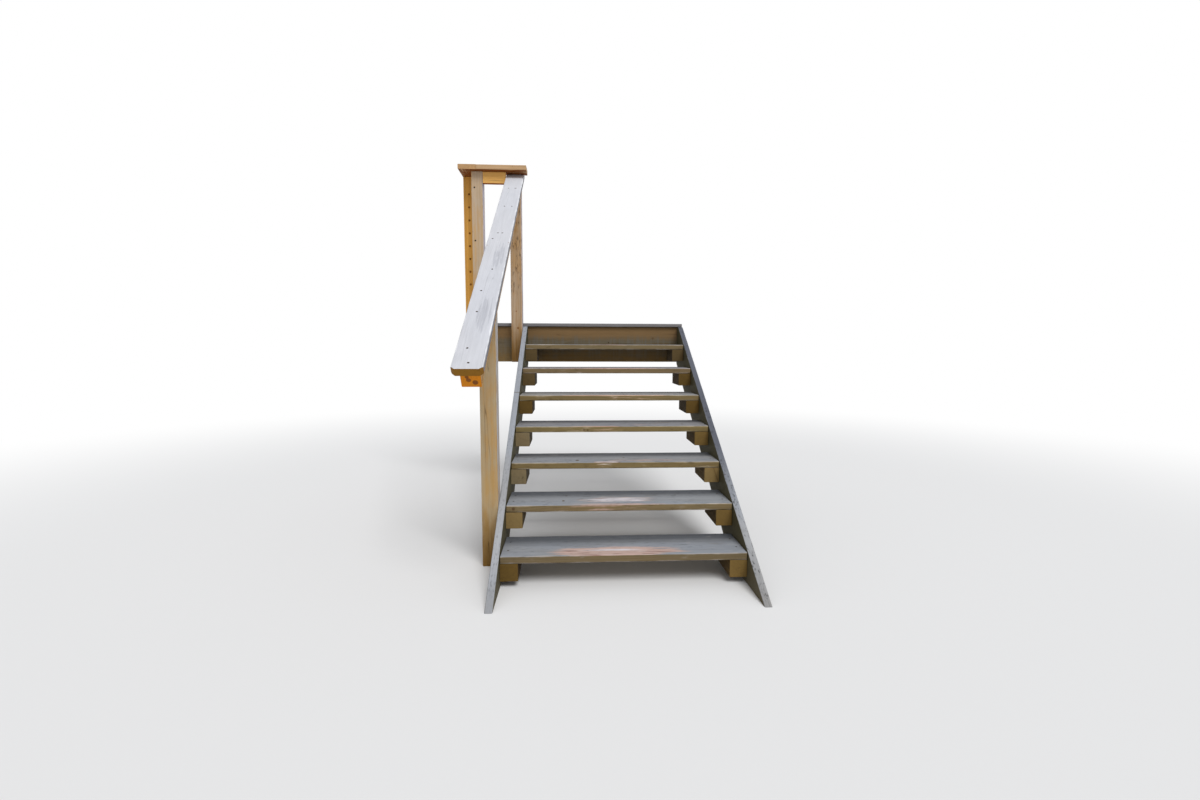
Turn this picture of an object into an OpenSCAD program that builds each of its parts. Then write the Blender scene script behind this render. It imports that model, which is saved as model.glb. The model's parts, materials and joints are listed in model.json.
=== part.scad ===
// Wooden deck stairs: a straight flight of open plank treads between two closed
// stringers, hung on a deck rim board. A timber handrail on two posts climbs the
// left side and ends under the cap of a short guard at the deck's corner.
// The origin lies on the rim board's back face, midway between the stringers and
// halfway up the board. The flight comes down towards -Y, and +Z is up.

/* [Flight] */
// Clear width between the two stringers
clear_w = 1229; // [800:1:1500]
// Height from one tread to the next
rise = 172.6; // [150:0.1:190]
// Depth from one tread's nose to the next
run = 275; // [255:1:300]
// Number of treads
tread_n = 7; // [4:1:9]
// Height of the lowest tread above the ground
first_rise = 160; // [140:1:190]

/* [Planks of the flight] */
// Thickness of a stringer
stringer_t = 38; // [32:1:50]
// Width of a stringer plank, square to the slope
stringer_w = 286; // [275:1:330]
// Thickness of a tread
tread_t = 38; // [32:1:50]
// Gap between a tread's end and the stringer
tread_gap = 3; // [1:0.5:6]
// Depth of a tread plank
tread_w = 286; // [260:1:300]
// Side of a square cleat block under a tread's end
cleat_s = 89; // [60:1:95]
// Length of a cleat block
cleat_len = 250; // [150:1:265]
// Distance of a cleat's front end behind the tread's nose
cleat_set = 2; // [0:1:20]

/* [Deck edge] */
// Thickness of the rim boards
rim_t = 38; // [32:1:50]
// Depth of the rim boards
rim_w = 286; // [230:1:300]
// Thickness of the board along the deck's edge
edge_t = 28; // [22:1:38]
// Width of the board along the deck's edge
edge_w = 140; // [90:1:150]
// How far the edge board stands out over the rim board
edge_lip = 22; // [10:1:30]

/* [Handrail] */
// Side of the square posts
post_s = 89; // [75:1:100]
// From the lowest tread's nose back to the lower post
lower_post_set = 274; // [200:1:500]
// Width of the handrail's cap board
cap_w = 140; // [120:1:160]
// Thickness of the handrail's cap board
cap_t = 38; // [32:1:50]
// How far the cap reaches in over the stringer
cap_inner_lap = 22; // [0:1:40]
// Depth of the bearer under the cap, square to the slope
bearer_t = 89; // [60:1:100]
// Setback of the bearer's lower end from the cap's end, along the slope
bearer_set = 40; // [5:1:60]
// How far the handrail runs out before the lowest tread's nose
rail_reach = 286; // [100:1:350]
// Height of the handrail's lower end above the ground
rail_low_h = 1086; // [1000:1:1150]
// Level seat trimmed on the cap's upper end, under the guard cap
rail_seat = 27; // [15:1:40]
// Clipped corners on the cap's lower end
corner_clip = 18; // [8:1:35]

/* [Guard] */
// Height of the guard cap's top above the deck
guard_h = 1203; // [1100:1:1300]
// Width of the flat guard cap boards
guard_cap_w = 140; // [130:1:160]
// Thickness of the guard cap boards
guard_cap_t = 38; // [32:1:50]
// How far the guard cap runs past the upper post
guard_end_lap = 45; // [10:1:60]
// Clear width of the guard bay beside the handrail
bay_w = 207; // [120:1:600]
// Thickness of the guard bearer, which stands on edge
guard_bearer_t = 38; // [32:1:50]
// Depth of the guard bearer
guard_bearer_w = 89; // [60:1:120]
// Gap from the rim board's back face to the side post
side_post_gap = 17; // [0:1:60]
// How far the side rim and its cap run past the side post
return_lap = 25; // [10:1:100]
// How far the side cap stands out over the side post's outer face
side_cap_out = 4; // [0:1:30]

/* [Hidden] */
half_w = clear_w/2;
tread_end = half_w - tread_gap;
stringer_out = half_w + stringer_t;
post_out = stringer_out + post_s;
slope = rise/run;
slope_angle = atan(slope);
rim_top = rim_w/2;
rim_face = -rim_t;
deck_z = rim_top + edge_t;
ground = deck_z - tread_n*rise - first_rise;

// The top tread's back edge rests against the rim board.
function nose_y(i) = rim_face - tread_w - (tread_n - i)*run;
function tread_z(i) = deck_z - (tread_n + 1 - i)*rise;
// Height of the line through all the noses, which is the stringers' top edge
function nose_line(y) = tread_z(1) + (y - nose_y(1))*slope;
stringer_drop = stringer_w/cos(slope_angle);

guard_under = deck_z + guard_h - guard_cap_t;
rail_low_y = nose_y(1) - rail_reach;
rail_low_z = ground + rail_low_h;
rail_slope = (guard_under - rail_low_z)/(rim_face - rail_seat - rail_low_y);
rail_angle = atan(rail_slope);
// Height of the handrail's top surface
function rail_z(y) = rail_low_z + (y - rail_low_y)*rail_slope;
// Point (y, z) of the handrail, up the slope from its lower end and square below its top
function rail_point(up, below) = [
    rail_low_y + up*cos(rail_angle) + below*sin(rail_angle),
    rail_low_z + up*sin(rail_angle) - below*cos(rail_angle)
];
cap_drop = cap_t/cos(rail_angle);
rail_drop = (cap_t + bearer_t)/cos(rail_angle);
cap_out = post_out + cap_w - post_s - cap_inner_lap;

lower_post_y = nose_y(1) + lower_post_set;
upper_post_y = rim_face - post_s;
rim_left = post_out + bay_w + post_s;
side_cap_inner = rim_left + post_s + side_cap_out - guard_cap_w;
return_end = side_post_gap + post_s + return_lap;
guard_front = rim_face - guard_cap_w;
// Cutting tools pass this far beyond what they cut
over = 1;

stain_grey = [0.47, 0.48, 0.50];
weathered = [0.74, 0.75, 0.79];
cleat_brown = [0.50, 0.42, 0.28];
rim_brown = [0.42, 0.37, 0.27];
fresh_wood = [0.74, 0.63, 0.42];
golden_wood = [0.80, 0.60, 0.28];

// A straight board or block between two opposite corners
module block(low, high) {
    translate(low) cube(high - low);
}

// A board cut to a side outline, given as (y, z), between two x positions
module side_cut(x_low, x_high) {
    translate([x_low, 0, 0]) rotate([90, 0, 90]) linear_extrude(x_high - x_low) children();
}

// Outline of a stringer: a plank along the nose line with a level seat cut on
// the ground, a plumb cut at the rim board and a level cut under the edge board
module stringer_outline() {
    toe = nose_y(1) - first_rise/slope;
    intersection() {
        polygon([
            [toe, nose_line(toe)],
            [rim_face, nose_line(rim_face)],
            [rim_face, nose_line(rim_face) - stringer_drop],
            [toe, nose_line(toe) - stringer_drop]
        ]);
        translate([toe - over, ground]) square([rim_face - toe + over, rim_top - ground]);
    }
}

module left_stringer() {
    color(stain_grey) side_cut(-stringer_out, -half_w) stringer_outline();
}

module right_stringer() {
    color(stain_grey) side_cut(half_w, stringer_out) stringer_outline();
}

module tread(i) {
    color(stain_grey)
        block([-tread_end, nose_y(i), tread_z(i) - tread_t],
            [tread_end, nose_y(i) + tread_w, tread_z(i)]);
}

// Square block under a tread's end, fixed to the stringer's inner face
module cleat(i, x_low) {
    front = nose_y(i) + cleat_set;
    top = tread_z(i) - tread_t;
    color(cleat_brown)
        block([x_low, front, top - cleat_s], [x_low + cleat_s, front + cleat_len, top]);
}

module left_cleat(i) {
    cleat(i, -half_w);
}

module right_cleat(i) {
    cleat(i, half_w - cleat_s);
}

module rim_board() {
    color(rim_brown) block([-rim_left + rim_t, rim_face, -rim_top], [stringer_out, 0, rim_top]);
}

// Short return of the deck's side rim, which laps the rim board's end and
// carries the side post
module side_rim_board() {
    color(rim_brown)
        block([-rim_left, rim_face, -rim_top], [-rim_left + rim_t, return_end, rim_top]);
}

// Outermost deck board, notched to pass behind the two face-mounted posts
module deck_edge_board() {
    lip = rim_face - edge_lip;
    color(stain_grey) difference() {
        block([-rim_left, lip, rim_top], [stringer_out, lip + edge_w, deck_z]);
        for (x = [-rim_left, -post_out])
            block([x - over, lip - over, rim_top - over], [x + post_s, rim_face, deck_z + over]);
    }
}

// Outline of a post whose top is cut to the handrail's slope
module rail_post_outline(front, foot) {
    back = front + post_s;
    polygon([
        [front, foot],
        [back, foot],
        [back, rail_z(back) - rail_drop],
        [front, rail_z(front) - rail_drop]
    ]);
}

module lower_post() {
    color(fresh_wood) side_cut(-post_out, -stringer_out) rail_post_outline(lower_post_y, ground);
}

module upper_post() {
    color(fresh_wood) side_cut(-post_out, -stringer_out) rail_post_outline(upper_post_y, -rim_top);
}

// Square timber that the cap is screwed to, cut square at its lower end and plumb
// over the rim board's face
module handrail_bearer() {
    color(golden_wood) side_cut(-post_out, -stringer_out) polygon([
        rail_point(bearer_set, cap_t + bearer_t),
        [rim_face, rail_z(rim_face) - rail_drop],
        [rim_face, rail_z(rim_face) - cap_drop],
        rail_point(bearer_set, cap_t)
    ]);
}

// Cap outline: square cut at its lower end, and at its upper end cut plumb over
// the rim board's face and level under the guard cap
module cap_outline() {
    polygon([
        rail_point(0, 0),
        [rim_face - rail_seat, guard_under],
        [rim_face, guard_under],
        [rim_face, rail_z(rim_face) - cap_drop],
        rail_point(0, cap_t)
    ]);
}

// Triangular prism that clips a corner of the cap, square to its top surface
module clip_cut() {
    reach = corner_clip + over;
    translate([0, 0, -cap_t - over]) linear_extrude(cap_t + 2*over)
        polygon([[-over, -over], [reach, -over], [-over, reach]]);
}

module handrail_cap() {
    cap_in = cap_out - cap_w;
    color(weathered) difference() {
        side_cut(-cap_out, -cap_in) cap_outline();
        translate([-cap_out, rail_low_y, rail_low_z]) rotate([rail_angle, 0, 0]) clip_cut();
        translate([-cap_in, rail_low_y, rail_low_z]) rotate([rail_angle, 0, 0])
            mirror([1, 0, 0]) clip_cut();
    }
}

module corner_post() {
    color(fresh_wood)
        block([-rim_left, upper_post_y, -rim_top], [-rim_left + post_s, rim_face, guard_under]);
}

// Post on the side rim's outer face, just behind the corner
module side_post() {
    color(golden_wood)
        block([-rim_left - post_s, side_post_gap, -rim_top],
            [-rim_left, side_post_gap + post_s, guard_under]);
}

// Board on edge under the guard cap, from the corner post to the handrail's cap
module guard_bearer() {
    color(golden_wood)
        block([-rim_left + post_s, upper_post_y, guard_under - guard_bearer_w],
            [-cap_out, upper_post_y + guard_bearer_t, guard_under]);
}

module guard_cap() {
    color(golden_wood)
        block([-side_cap_inner, guard_front, guard_under],
            [-stringer_out + guard_end_lap, rim_face, guard_under + guard_cap_t]);
}

// Cap of the side run, whose end grain shows at the corner's front
module side_guard_cap() {
    color(golden_wood)
        block([-side_cap_inner - guard_cap_w, guard_front, guard_under],
            [-side_cap_inner, return_end, guard_under + guard_cap_t]);
}

left_stringer();
right_stringer();
for (i = [1:tread_n]) {
    tread(i);
    left_cleat(i);
    right_cleat(i);
}
rim_board();
side_rim_board();
deck_edge_board();
lower_post();
upper_post();
handrail_bearer();
handrail_cap();
corner_post();
side_post();
guard_bearer();
guard_cap();
side_guard_cap();
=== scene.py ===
import json
from math import ceil, cos, pi, radians, sin
from random import Random

import bmesh
import bpy
from mathutils import Matrix, Vector, noise


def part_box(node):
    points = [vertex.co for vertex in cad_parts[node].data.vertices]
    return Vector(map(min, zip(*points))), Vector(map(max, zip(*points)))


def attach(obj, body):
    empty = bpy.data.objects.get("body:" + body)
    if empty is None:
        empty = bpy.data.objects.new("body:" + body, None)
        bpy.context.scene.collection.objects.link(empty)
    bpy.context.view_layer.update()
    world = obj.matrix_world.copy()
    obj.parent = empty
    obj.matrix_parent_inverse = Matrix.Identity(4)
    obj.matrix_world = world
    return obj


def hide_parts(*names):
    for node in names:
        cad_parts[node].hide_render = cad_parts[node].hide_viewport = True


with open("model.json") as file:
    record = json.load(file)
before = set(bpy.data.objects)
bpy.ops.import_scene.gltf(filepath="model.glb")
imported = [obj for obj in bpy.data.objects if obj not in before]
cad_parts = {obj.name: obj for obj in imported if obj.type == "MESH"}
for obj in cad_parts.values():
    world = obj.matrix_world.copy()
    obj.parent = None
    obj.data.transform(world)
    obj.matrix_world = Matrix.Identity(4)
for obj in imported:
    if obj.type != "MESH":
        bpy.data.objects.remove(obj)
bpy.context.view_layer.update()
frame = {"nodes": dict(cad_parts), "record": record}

MM = 0.001
UP = Vector((0, 0, 1))
FRONT = Vector((0, -1, 0))
NODES = frame["nodes"]
SLOT = {part["node"]: part["material_slot"] for part in frame["record"]["subparts"]}
CLEATS = sorted(name for name in NODES if "_cleat_" in name)
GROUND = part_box("lower_post")[0].z


def srgb(red, green, blue):
    """A colour written as on screen, 0 to 255, as Blender's linear RGBA."""
    def linear(value):
        value /= 255
        return value/12.92 if value <= 0.04045 else ((value + 0.055)/1.055)**2.4
    return (linear(red), linear(green), linear(blue), 1.0)


def link(name, mesh):
    piece = bpy.data.objects.new(name, mesh)
    bpy.context.scene.collection.objects.link(piece)
    return piece


# ---- What marks single boards

# tint: colour against the slot's look, red, green and blue
# front_tint: colour of a tread's front face, on top of tint
# front_wear: how much of a tread's wear reaches round onto its front face
# worn: patches that feet or hands wore: middle, along from the board's middle and across from its lower
#     edge, reach both ways, in metres, how bare it is and how far it is bleached
# specks: how dark the specks are
# knotty: 0 where the board has no knots of its own
# knots: knots at a place, from the node's lowest corner, and their radius, in millimetres
# figure: strength of the grain's bands and streaks
# the stringers' mark for painted shadow: how far the upper part of the top edge is darkened, as if shaded
# by the deck
# lower_end: colour of the lower cut end
# saw_cut: how far back from the lower end a saw cut crosses the top edge, in metres
MARKS = {
    "left_stringer": dict(
        tint=(1.07, 1.08, 1.09), specks=0.32, knotty=0.0, sheltered=0.16, saw_cut=1.384),
    "right_stringer": dict(specks=0.72, sheltered=0.9),
    "tread_1": dict(
        front_tint=(0.83, 0.83, 0.86), specks=0.2, knotty=0.0,
        worn=[((-0.03, 0.046), (0.42, 0.08), 1.0, -0.16), ((-0.07, 0.072), (0.22, 0.026), 0.9, 0.26)]),
    "tread_2": dict(
        tint=(0.98, 0.99, 1.0), front_tint=(1.07, 1.02, 0.98), front_wear=0.55, specks=0.38,
        worn=[((-0.01, 0.096), (0.27, 0.066), 0.66, 0.36), ((-0.02, 0.005), (0.36, 0.032), 0.6, -0.1)],
        knots=[((38, 0, 20), 9)]),
    "tread_3": dict(
        tint=(0.92, 0.9, 0.88), front_tint=(1.12, 1.09, 0.92), front_wear=0.3, specks=0.42,
        worn=[((-0.05, 0.008), (0.1, 0.034), 1.0, 0.3), ((0.2, 0.06), (0.32, 0.05), 0.45, 0.0)]),
    "tread_4": dict(
        tint=(0.84, 0.8, 0.78), front_tint=(1.28, 1.32, 1.08), front_wear=0.5, specks=0.48,
        worn=[((0.18, 0.06), (0.14, 0.04), 0.5, 0.2), ((-0.1, 0.004), (0.26, 0.026), 0.6, -0.3)],
        knots=[((428, 0, 16), 8), ((452, 0, 13), 6)]),
    "tread_5": dict(
        tint=(0.99, 0.93, 0.84), front_tint=(1.03, 1.05, 0.98), front_wear=0.3, specks=0.42,
        worn=[((0.02, 0.002), (0.5, 0.036), 0.85, -0.3)]),
    "tread_6": dict(
        tint=(1.0, 0.93, 0.91), specks=0.42, worn=[((0.08, 0.002), (0.46, 0.04), 0.8, -0.3)]),
    "tread_7": dict(specks=0.3, worn=[((-0.05, 0.006), (0.3, 0.026), 0.42, 0.0)]),
    "lower_post": dict(tint=(1.0, 1.0, 0.96), knotty=0.0, figure=0.65),
    "upper_post": dict(tint=(1.0, 0.96, 1.02), specks=0.62, figure=2.2, knots=[((53, 0, 272), 9)]),
    "corner_post": dict(tint=(1.2, 1.25, 1.45)),
    "side_post": dict(tint=(1.24, 1.12, 0.64), figure=1.3),
    "handrail_bearer": dict(
        lower_end=srgb(216, 131, 0),
        knots=[((34, 28, 32), 11), ((62, 35, 21), 13), ((28, 20, 46), 9)]),
    "handrail_cap": dict(
        worn=[((-0.19, 0.046), (0.22, 0.04), 0.62, 0.0), ((-0.84, 0.052), (0.22, 0.042), 0.72, 0.0)]),
    # The guard bearer's bright tint is painted light, making up for the guard cap's shadow on it.
    "guard_bearer": dict(tint=(1.5, 1.46, 1.15)),
    "guard_cap": dict(tint=(0.95, 1.06, 1.6)),
    "side_guard_cap": dict(tint=(0.95, 1.06, 1.6)),
}
UNMARKED = dict(
    front_tint=(1.0, 1.0, 1.0), front_wear=0.0, specks=0.0, knotty=1.0, figure=1.0, sheltered=0.0)
# Patches and knots that a material looks for, and one of each that marks nothing
PATCH_LIMIT = 2
KNOT_LIMIT = 3
NO_PATCH = ((0, 0), (1, 1), 0, 0)
NO_KNOT = ((0, 0, -5000), 1)
# Tint of the cleats on each side, from the lowest up: partly each cleat's own colour and partly painted
# light and shade, SHADED being painted shade under the deck
GREYER = (1.24, 1.4, 1.8)
OCHRE = (1.02, 0.92, 0.6)
BROWN = (0.7, 0.6, 0.3)
SHADED = (0.64, 0.62, 0.56)
PALER = (1.42, 1.4, 1.25)
CLEAT_TINTS = {
    "left": (BROWN, PALER, GREYER, GREYER, BROWN, SHADED, SHADED),
    "right": (OCHRE, OCHRE, PALER, OCHRE, BROWN, BROWN, SHADED),
}
for side, tints in CLEAT_TINTS.items():
    for count, tint in enumerate(tints, 1):
        MARKS["%s_cleat_%d" % (side, count)] = {"tint": tint}


# ---- Timber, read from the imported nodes

# Radius of the eased long edges and depth of the deepest nicks in them, in millimetres, by slot
EDGES = {"stringer": (4, 1.6), "tread": (5, 2.2), "cleat": (3, 0.8), "rim": (3, 0.6),
         "edge_board": (5, 1.2), "post": (4.5, 1.2), "golden": (4, 0.8), "handrail_cap": (7, 1.4)}
# Rounding of a sawn end, and how far past its rounding a long edge still counts as one
SAWN_EDGE = 1.2*MM
EDGE_BAND = 2*MM
# Cosines with the grain: of an edge that follows it, and of a sawn end before and after its rounding
FOLLOWS = 0.98
SAWN = 0.4
SAWN_END = 0.6
# Short pieces whose grain doesn't follow their longest edge
CUT_ACROSS = {"side_rim_board": Vector((0, 1, 0))}
# Slots whose pieces are square, with the pith near their edge or outside
SQUARE = ("post", "golden", "cleat")
# Radius and depth of the countersunk holes, with the larger ones of some boards, in millimetres
HOLE_RADIUS = 4.8
HOLES = {"corner_post": 7, "handrail_cap": 5.4}
HOLE_DEPTH = 1.8
HOLE_TAPER = 0.5
# How far outside the radius, and how little below the surface, a face still belongs to a hole
HOLE_SLACK = 0.6
HOLE_START = 0.3


class Board:
    """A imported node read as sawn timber, with its grain, width and thickness directions."""

    def __init__(self, name):
        self.name = name
        self.slot = SLOT[name]
        self.marks = MARKS.get(name, {})
        self.random = Random(name)
        self.eased, self.nicked = (size*MM for size in EDGES[self.slot])
        self.hole = HOLES.get(name, HOLE_RADIUS)
        self.corner, self.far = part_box(name)
        self.centre = (self.corner + self.far)/2
        self.mesh = bmesh.new()
        self.mesh.from_mesh(NODES[name].data)
        bmesh.ops.remove_doubles(self.mesh, verts=self.mesh.verts, dist=0.05*MM)
        bmesh.ops.dissolve_limit(self.mesh, angle_limit=radians(0.5), verts=self.mesh.verts,
                                 edges=self.mesh.edges)
        self.grain = CUT_ACROSS.get(name) or self.longest_edge()
        self.face = self.widest_face()
        self.width = self.face.cross(self.grain).normalized()
        spans = [self.coords(vert.co) for vert in self.mesh.verts]
        self.low = [min(span[i] for span in spans) for i in range(3)]
        self.high = [max(span[i] for span in spans) for i in range(3)]
        self.pith = self.pick_pith()
        self.screws = screw_places(self)

    def longest_edge(self):
        """Direction of the longest edge, turned right, back or up."""
        edge = max(self.mesh.edges, key=lambda edge: round(edge.calc_length(), 5))
        along = (edge.verts[1].co - edge.verts[0].co).normalized()
        return along if along.dot(Vector((1, 1, 1))) > 0 else -along

    def widest_face(self):
        """Normal of the widest long face, turned up or to the front."""
        sides = [face for face in self.mesh.faces if abs(face.normal.dot(self.grain)) < 0.1]
        normal = max(sides, key=lambda face: round(face.calc_area(), 4)).normal.copy()
        return normal if normal.dot(Vector((0.1, -0.5, 1))) > 0 else -normal

    def pick_pith(self):
        """Where the pith of the log lay, across and through the board from its middle."""
        if self.slot in SQUARE:
            across = self.random.choice((-1, 1))*self.random.uniform(0.04, 0.08)
            return across, self.random.uniform(-0.07, 0.07)
        return self.random.uniform(-0.03, 0.03), -self.random.uniform(0.05, 0.1)

    def coords(self, point):
        """Place along the grain, across the width and through the thickness, from the middle."""
        offset = point - self.centre
        return offset.dot(self.grain), offset.dot(self.width), offset.dot(self.face)

    def edge_at(self, across, through):
        """1 on a long edge, falling to 0 just past its rounding."""
        side = min(across - self.low[1], self.high[1] - across)
        face = min(through - self.low[2], self.high[2] - through)
        return max(0.0, 1 - (side + face)/(self.eased + EDGE_BAND))


# ---- Shape: eased edges, screw holes, slow waves, nicks and wear

def bevel(mesh, edges, radius, segments):
    bmesh.ops.bevel(mesh, geom=edges, offset=radius, offset_type="OFFSET", segments=segments, profile=0.5,
                    affect="EDGES", clamp_overlap=True)
    mesh.normal_update()


def ease_edges(board):
    """Rounds the long edges with the planer's radius and the sawn ends with a fine one."""
    long_edges = [edge for edge in board.mesh.edges if edge.is_convex
                  and abs((edge.verts[1].co - edge.verts[0].co).normalized().dot(board.grain)) > FOLLOWS]
    bevel(board.mesh, long_edges, board.eased, 4)
    sawn = [edge for edge in board.mesh.edges if edge.is_convex and len(edge.link_faces) == 2
            and sum(abs(face.normal.dot(board.grain)) > SAWN for face in edge.link_faces) == 1]
    bevel(board.mesh, sawn, SAWN_EDGE, 2)


def rows(low, high, step):
    count = ceil((high - low)/step)
    return [low + (high - low)*i/count for i in range(count + 1)]


# Rows of the mesh, so that a face can bend, and the rims without them
STEP_ALONG = 36*MM
STEP_ACROSS = 24*MM
END_MARGIN = 12*MM
SIDE_MARGIN = 4*MM


def slice_mesh(board, axis, places):
    for place in places:
        geometry = board.mesh.verts[:] + board.mesh.edges[:] + board.mesh.faces[:]
        bmesh.ops.bisect_plane(board.mesh, geom=geometry, dist=0.01*MM, plane_no=axis,
                               plane_co=board.centre + axis*place)


def slice_board(board):
    def slice_evenly(i, axis, margin, step):
        slice_mesh(board, axis, rows(board.low[i] + margin, board.high[i] - margin, step))

    side_margin = board.eased + SIDE_MARGIN
    slice_evenly(0, board.grain, END_MARGIN, STEP_ALONG)
    slice_evenly(1, board.width, side_margin, STEP_ACROSS)
    slice_evenly(2, board.face, side_margin, STEP_ACROSS)
    if "saw_cut" in board.marks:
        cut = saw_cut_place(board)
        slice_mesh(board, board.grain, (cut - CUT_HALF, cut, cut + CUT_HALF))


# Half width of the saw cut, its depth, and how far it reaches down the board's sides
CUT_HALF = 3*MM
CUT_DEPTH = 6*MM
CUT_DOWN = 14*MM


def saw_cut_place(board):
    """Place of the saw cut along the grain, where the top edge is as far back as the cut."""
    back = board.corner.y + board.marks["saw_cut"] - board.centre.y - board.width.y*board.high[1]
    return back/board.grain.y


# Least depth planed off, and the depth of the slow waves over the faces
SKIM = 0.15*MM
WAVE_DEPTH = 0.5*MM
# Features per metre along and across the grain, of the waves and of the nicks, and the nicks' strength
SLOW_WAVES = (3, 9)
NICKS = (16, 16)
NICK_GAIN = 1.6
# What feet wore off a tread, and how far that reaches from its middle, its nose and the hollow behind it
NOSE_WEAR = 1.3*MM
HOLLOW_WEAR = 0.5*MM
WEAR_ALONG = 0.42
NOSE_REACH = 16*MM
HOLLOW_AT = 0.09
HOLLOW_REACH = 0.09


def wave(seed, place, along, across):
    """Noise from 0 to 1, with this many features per metre along and across the grain."""
    return 0.5 + 0.5*noise.noise(seed + Vector((place[0]*along, place[1]*across, place[2]*across)))


def foot_wear(board, along, across, through):
    """Depth that feet wore off a tread's nose and the middle of its top."""
    if through <= 0:
        return 0.0
    back = across - board.low[1]
    middle = max(0.0, 1 - (along/WEAR_ALONG)**2)
    nose = max(0.0, 1 - back/NOSE_REACH)
    hollow = max(0.0, 1 - ((back - HOLLOW_AT)/HOLLOW_REACH)**2)
    return middle*(NOSE_WEAR*nose + HOLLOW_WEAR*hollow)


def weather_shape(board):
    """Moves the surface inwards: slow waves, nicks in the edges, a saw cut, and what feet wore off."""
    board.mesh.normal_update()
    seed = Vector([board.random.uniform(-50, 50) for _ in range(3)])
    cut = saw_cut_place(board) if "saw_cut" in board.marks else None
    shifts = []
    for vert in board.mesh.verts:
        place = board.coords(vert.co)
        along, across, through = place
        nick = board.edge_at(across, through)*board.nicked*wave(seed, place, *NICKS)**2
        depth = SKIM + WAVE_DEPTH*wave(seed, place, *SLOW_WAVES) + NICK_GAIN*nick
        if board.slot == "tread":
            depth += foot_wear(board, along, across, through)
        if cut is not None and across > board.high[1] - CUT_DOWN:
            depth += CUT_DEPTH*max(0.0, 1 - abs(along - cut)/CUT_HALF)
        shifts.append(vert.normal*depth)
    for vert, shift in zip(board.mesh.verts, shifts):
        vert.co -= shift


# ---- Screws and nuts: turned shapes, as rings of (radius, height) in millimetres

HEAD_PROFILE = [(4.1, -2.4), (4.1, -0.9), (3.7, -0.6), (1.8, -0.7), (1.6, -1.6)]
# Cap nut on its washer
NUT_PROFILE = [(8.5, -0.8), (8.5, 0.9), (6.0, 1.1), (6.0, 4.6), (4.8, 6.0), (2.5, 7.2), (0.6, 7.6)]
HEAD_SIDES = 16
HOLE_SIDES = 14


def turn_shape(mesh, place, normal, profile, count):
    """Adds a turned shape, its rings given from the outside in."""
    side = normal.orthogonal().normalized()
    other = normal.cross(side)
    loops = []
    for radius, height in profile:
        ring = []
        for i in range(count):
            turn = 2*pi*i/count
            flat = (side*cos(turn) + other*sin(turn))*radius*MM
            ring.append(mesh.verts.new(place + flat + normal*height*MM))
        loops.append(ring)
    for outer, inner in zip(loops, loops[1:]):
        for i in range(count):
            j = (i + 1) % count
            mesh.faces.new((outer[i], outer[j], inner[j], inner[i]))
    mesh.faces.new(loops[-1])
    mesh.faces.new(list(reversed(loops[0])))


def metal_piece(name, places, profile, material, size=1.0):
    """Turned metal at each place, with radii this many times the profile's."""
    mesh = bmesh.new()
    profile = [(radius*size, height) for radius, height in profile]
    for place, normal in places:
        turn_shape(mesh, place, normal, profile, HEAD_SIDES)
    data = bpy.data.meshes.new(name)
    mesh.to_mesh(data)
    mesh.free()
    data.polygons.foreach_set("use_smooth", [True]*len(data.polygons))
    data.set_sharp_from_angle(angle=radians(50))
    data.materials.append(material)
    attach(link(name, data), "root")


# Where the screws are, in metres: in from a tread's ends and back from its nose
TREAD_SCREW_IN = 0.03
TREAD_SCREWS_BACK = (0.084, 0.2)
# Along the edge board, over the rim board and behind it
EDGE_SCREW_IN = 0.05
EDGE_SCREW_STEP = 0.42
HALF_RIM = 0.019
EDGE_SCREW_BACK = 0.062
# In the guard: in from the boards' left ends, over the posts, and in two rows
HALF_POST = 0.045
GUARD_SCREWS_IN = (0.03, 0.19)
GUARD_SCREWS_Y = (-0.11, -0.065)
SIDE_GUARD_SCREWS_IN = (0.035, 0.085)
CORNER_SCREW_IN = 0.024
CORNER_SCREWS_Z = (0.81, 1.215)
# In the handrail's cap: up the slope from its lower end and in from its outer edge
CAP_SCREWS = [(0.045, 0.072), (0.157, 0.052), (0.475, 0.051), (0.69, 0.045), (0.94, 0.074), (1.36, 0.03),
              (1.45, 0.053), (1.45, 0.08), (1.92, 0.05), (1.92, 0.1), (2.3, 0.045), (2.3, 0.095)]
# Through a stringer into each cleat: back from the cleat's front and up from its middle
CLEAT_SCREWS = ((0.07, 0.012), (0.18, -0.012))


def screw_places(board):
    """Screws of a board, as places on its surface and the way each head faces."""
    low, high = board.corner, board.far
    if board.slot == "stringer":
        return stringer_screws(board)
    if board.slot == "handrail_cap":
        return cap_screws(board)
    if board.name == "corner_post":
        return [(Vector((low.x + CORNER_SCREW_IN, low.y, z)), FRONT) for z in CORNER_SCREWS_Z]
    if board.slot == "tread":
        xs = (low.x + TREAD_SCREW_IN, high.x - TREAD_SCREW_IN)
        ys = [low.y + back for back in TREAD_SCREWS_BACK]
    elif board.name == "deck_edge_board":
        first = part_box("upper_post")[1].x + EDGE_SCREW_IN
        xs = rows(first, high.x - EDGE_SCREW_IN, EDGE_SCREW_STEP)
        rim_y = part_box("rim_board")[0].y + HALF_RIM
        ys = (rim_y, rim_y + EDGE_SCREW_BACK)
    elif board.name == "guard_cap":
        xs = [low.x + inward for inward in GUARD_SCREWS_IN] + [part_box("upper_post")[0].x + HALF_POST]
        ys = GUARD_SCREWS_Y
    elif board.name == "side_guard_cap":
        xs = [low.x + inward for inward in SIDE_GUARD_SCREWS_IN]
        ys = [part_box("side_post")[0].y + HALF_POST]
    else:
        return []
    return [(Vector((x, y, high.z)), UP) for x in xs for y in ys]


def stringer_screws(board):
    """Two screws through the stringer's outer face into each cleat."""
    side = board.name.split("_")[0]
    outward = Vector((-1 if side == "left" else 1, 0, 0))
    x = board.corner.x if side == "left" else board.far.x
    places = []
    for cleat in CLEATS:
        if cleat.startswith(side):
            near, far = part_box(cleat)
            places += [(Vector((x, near.y + back, (near.z + far.z)/2 + rise)), outward)
                       for back, rise in CLEAT_SCREWS]
    return places


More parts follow.
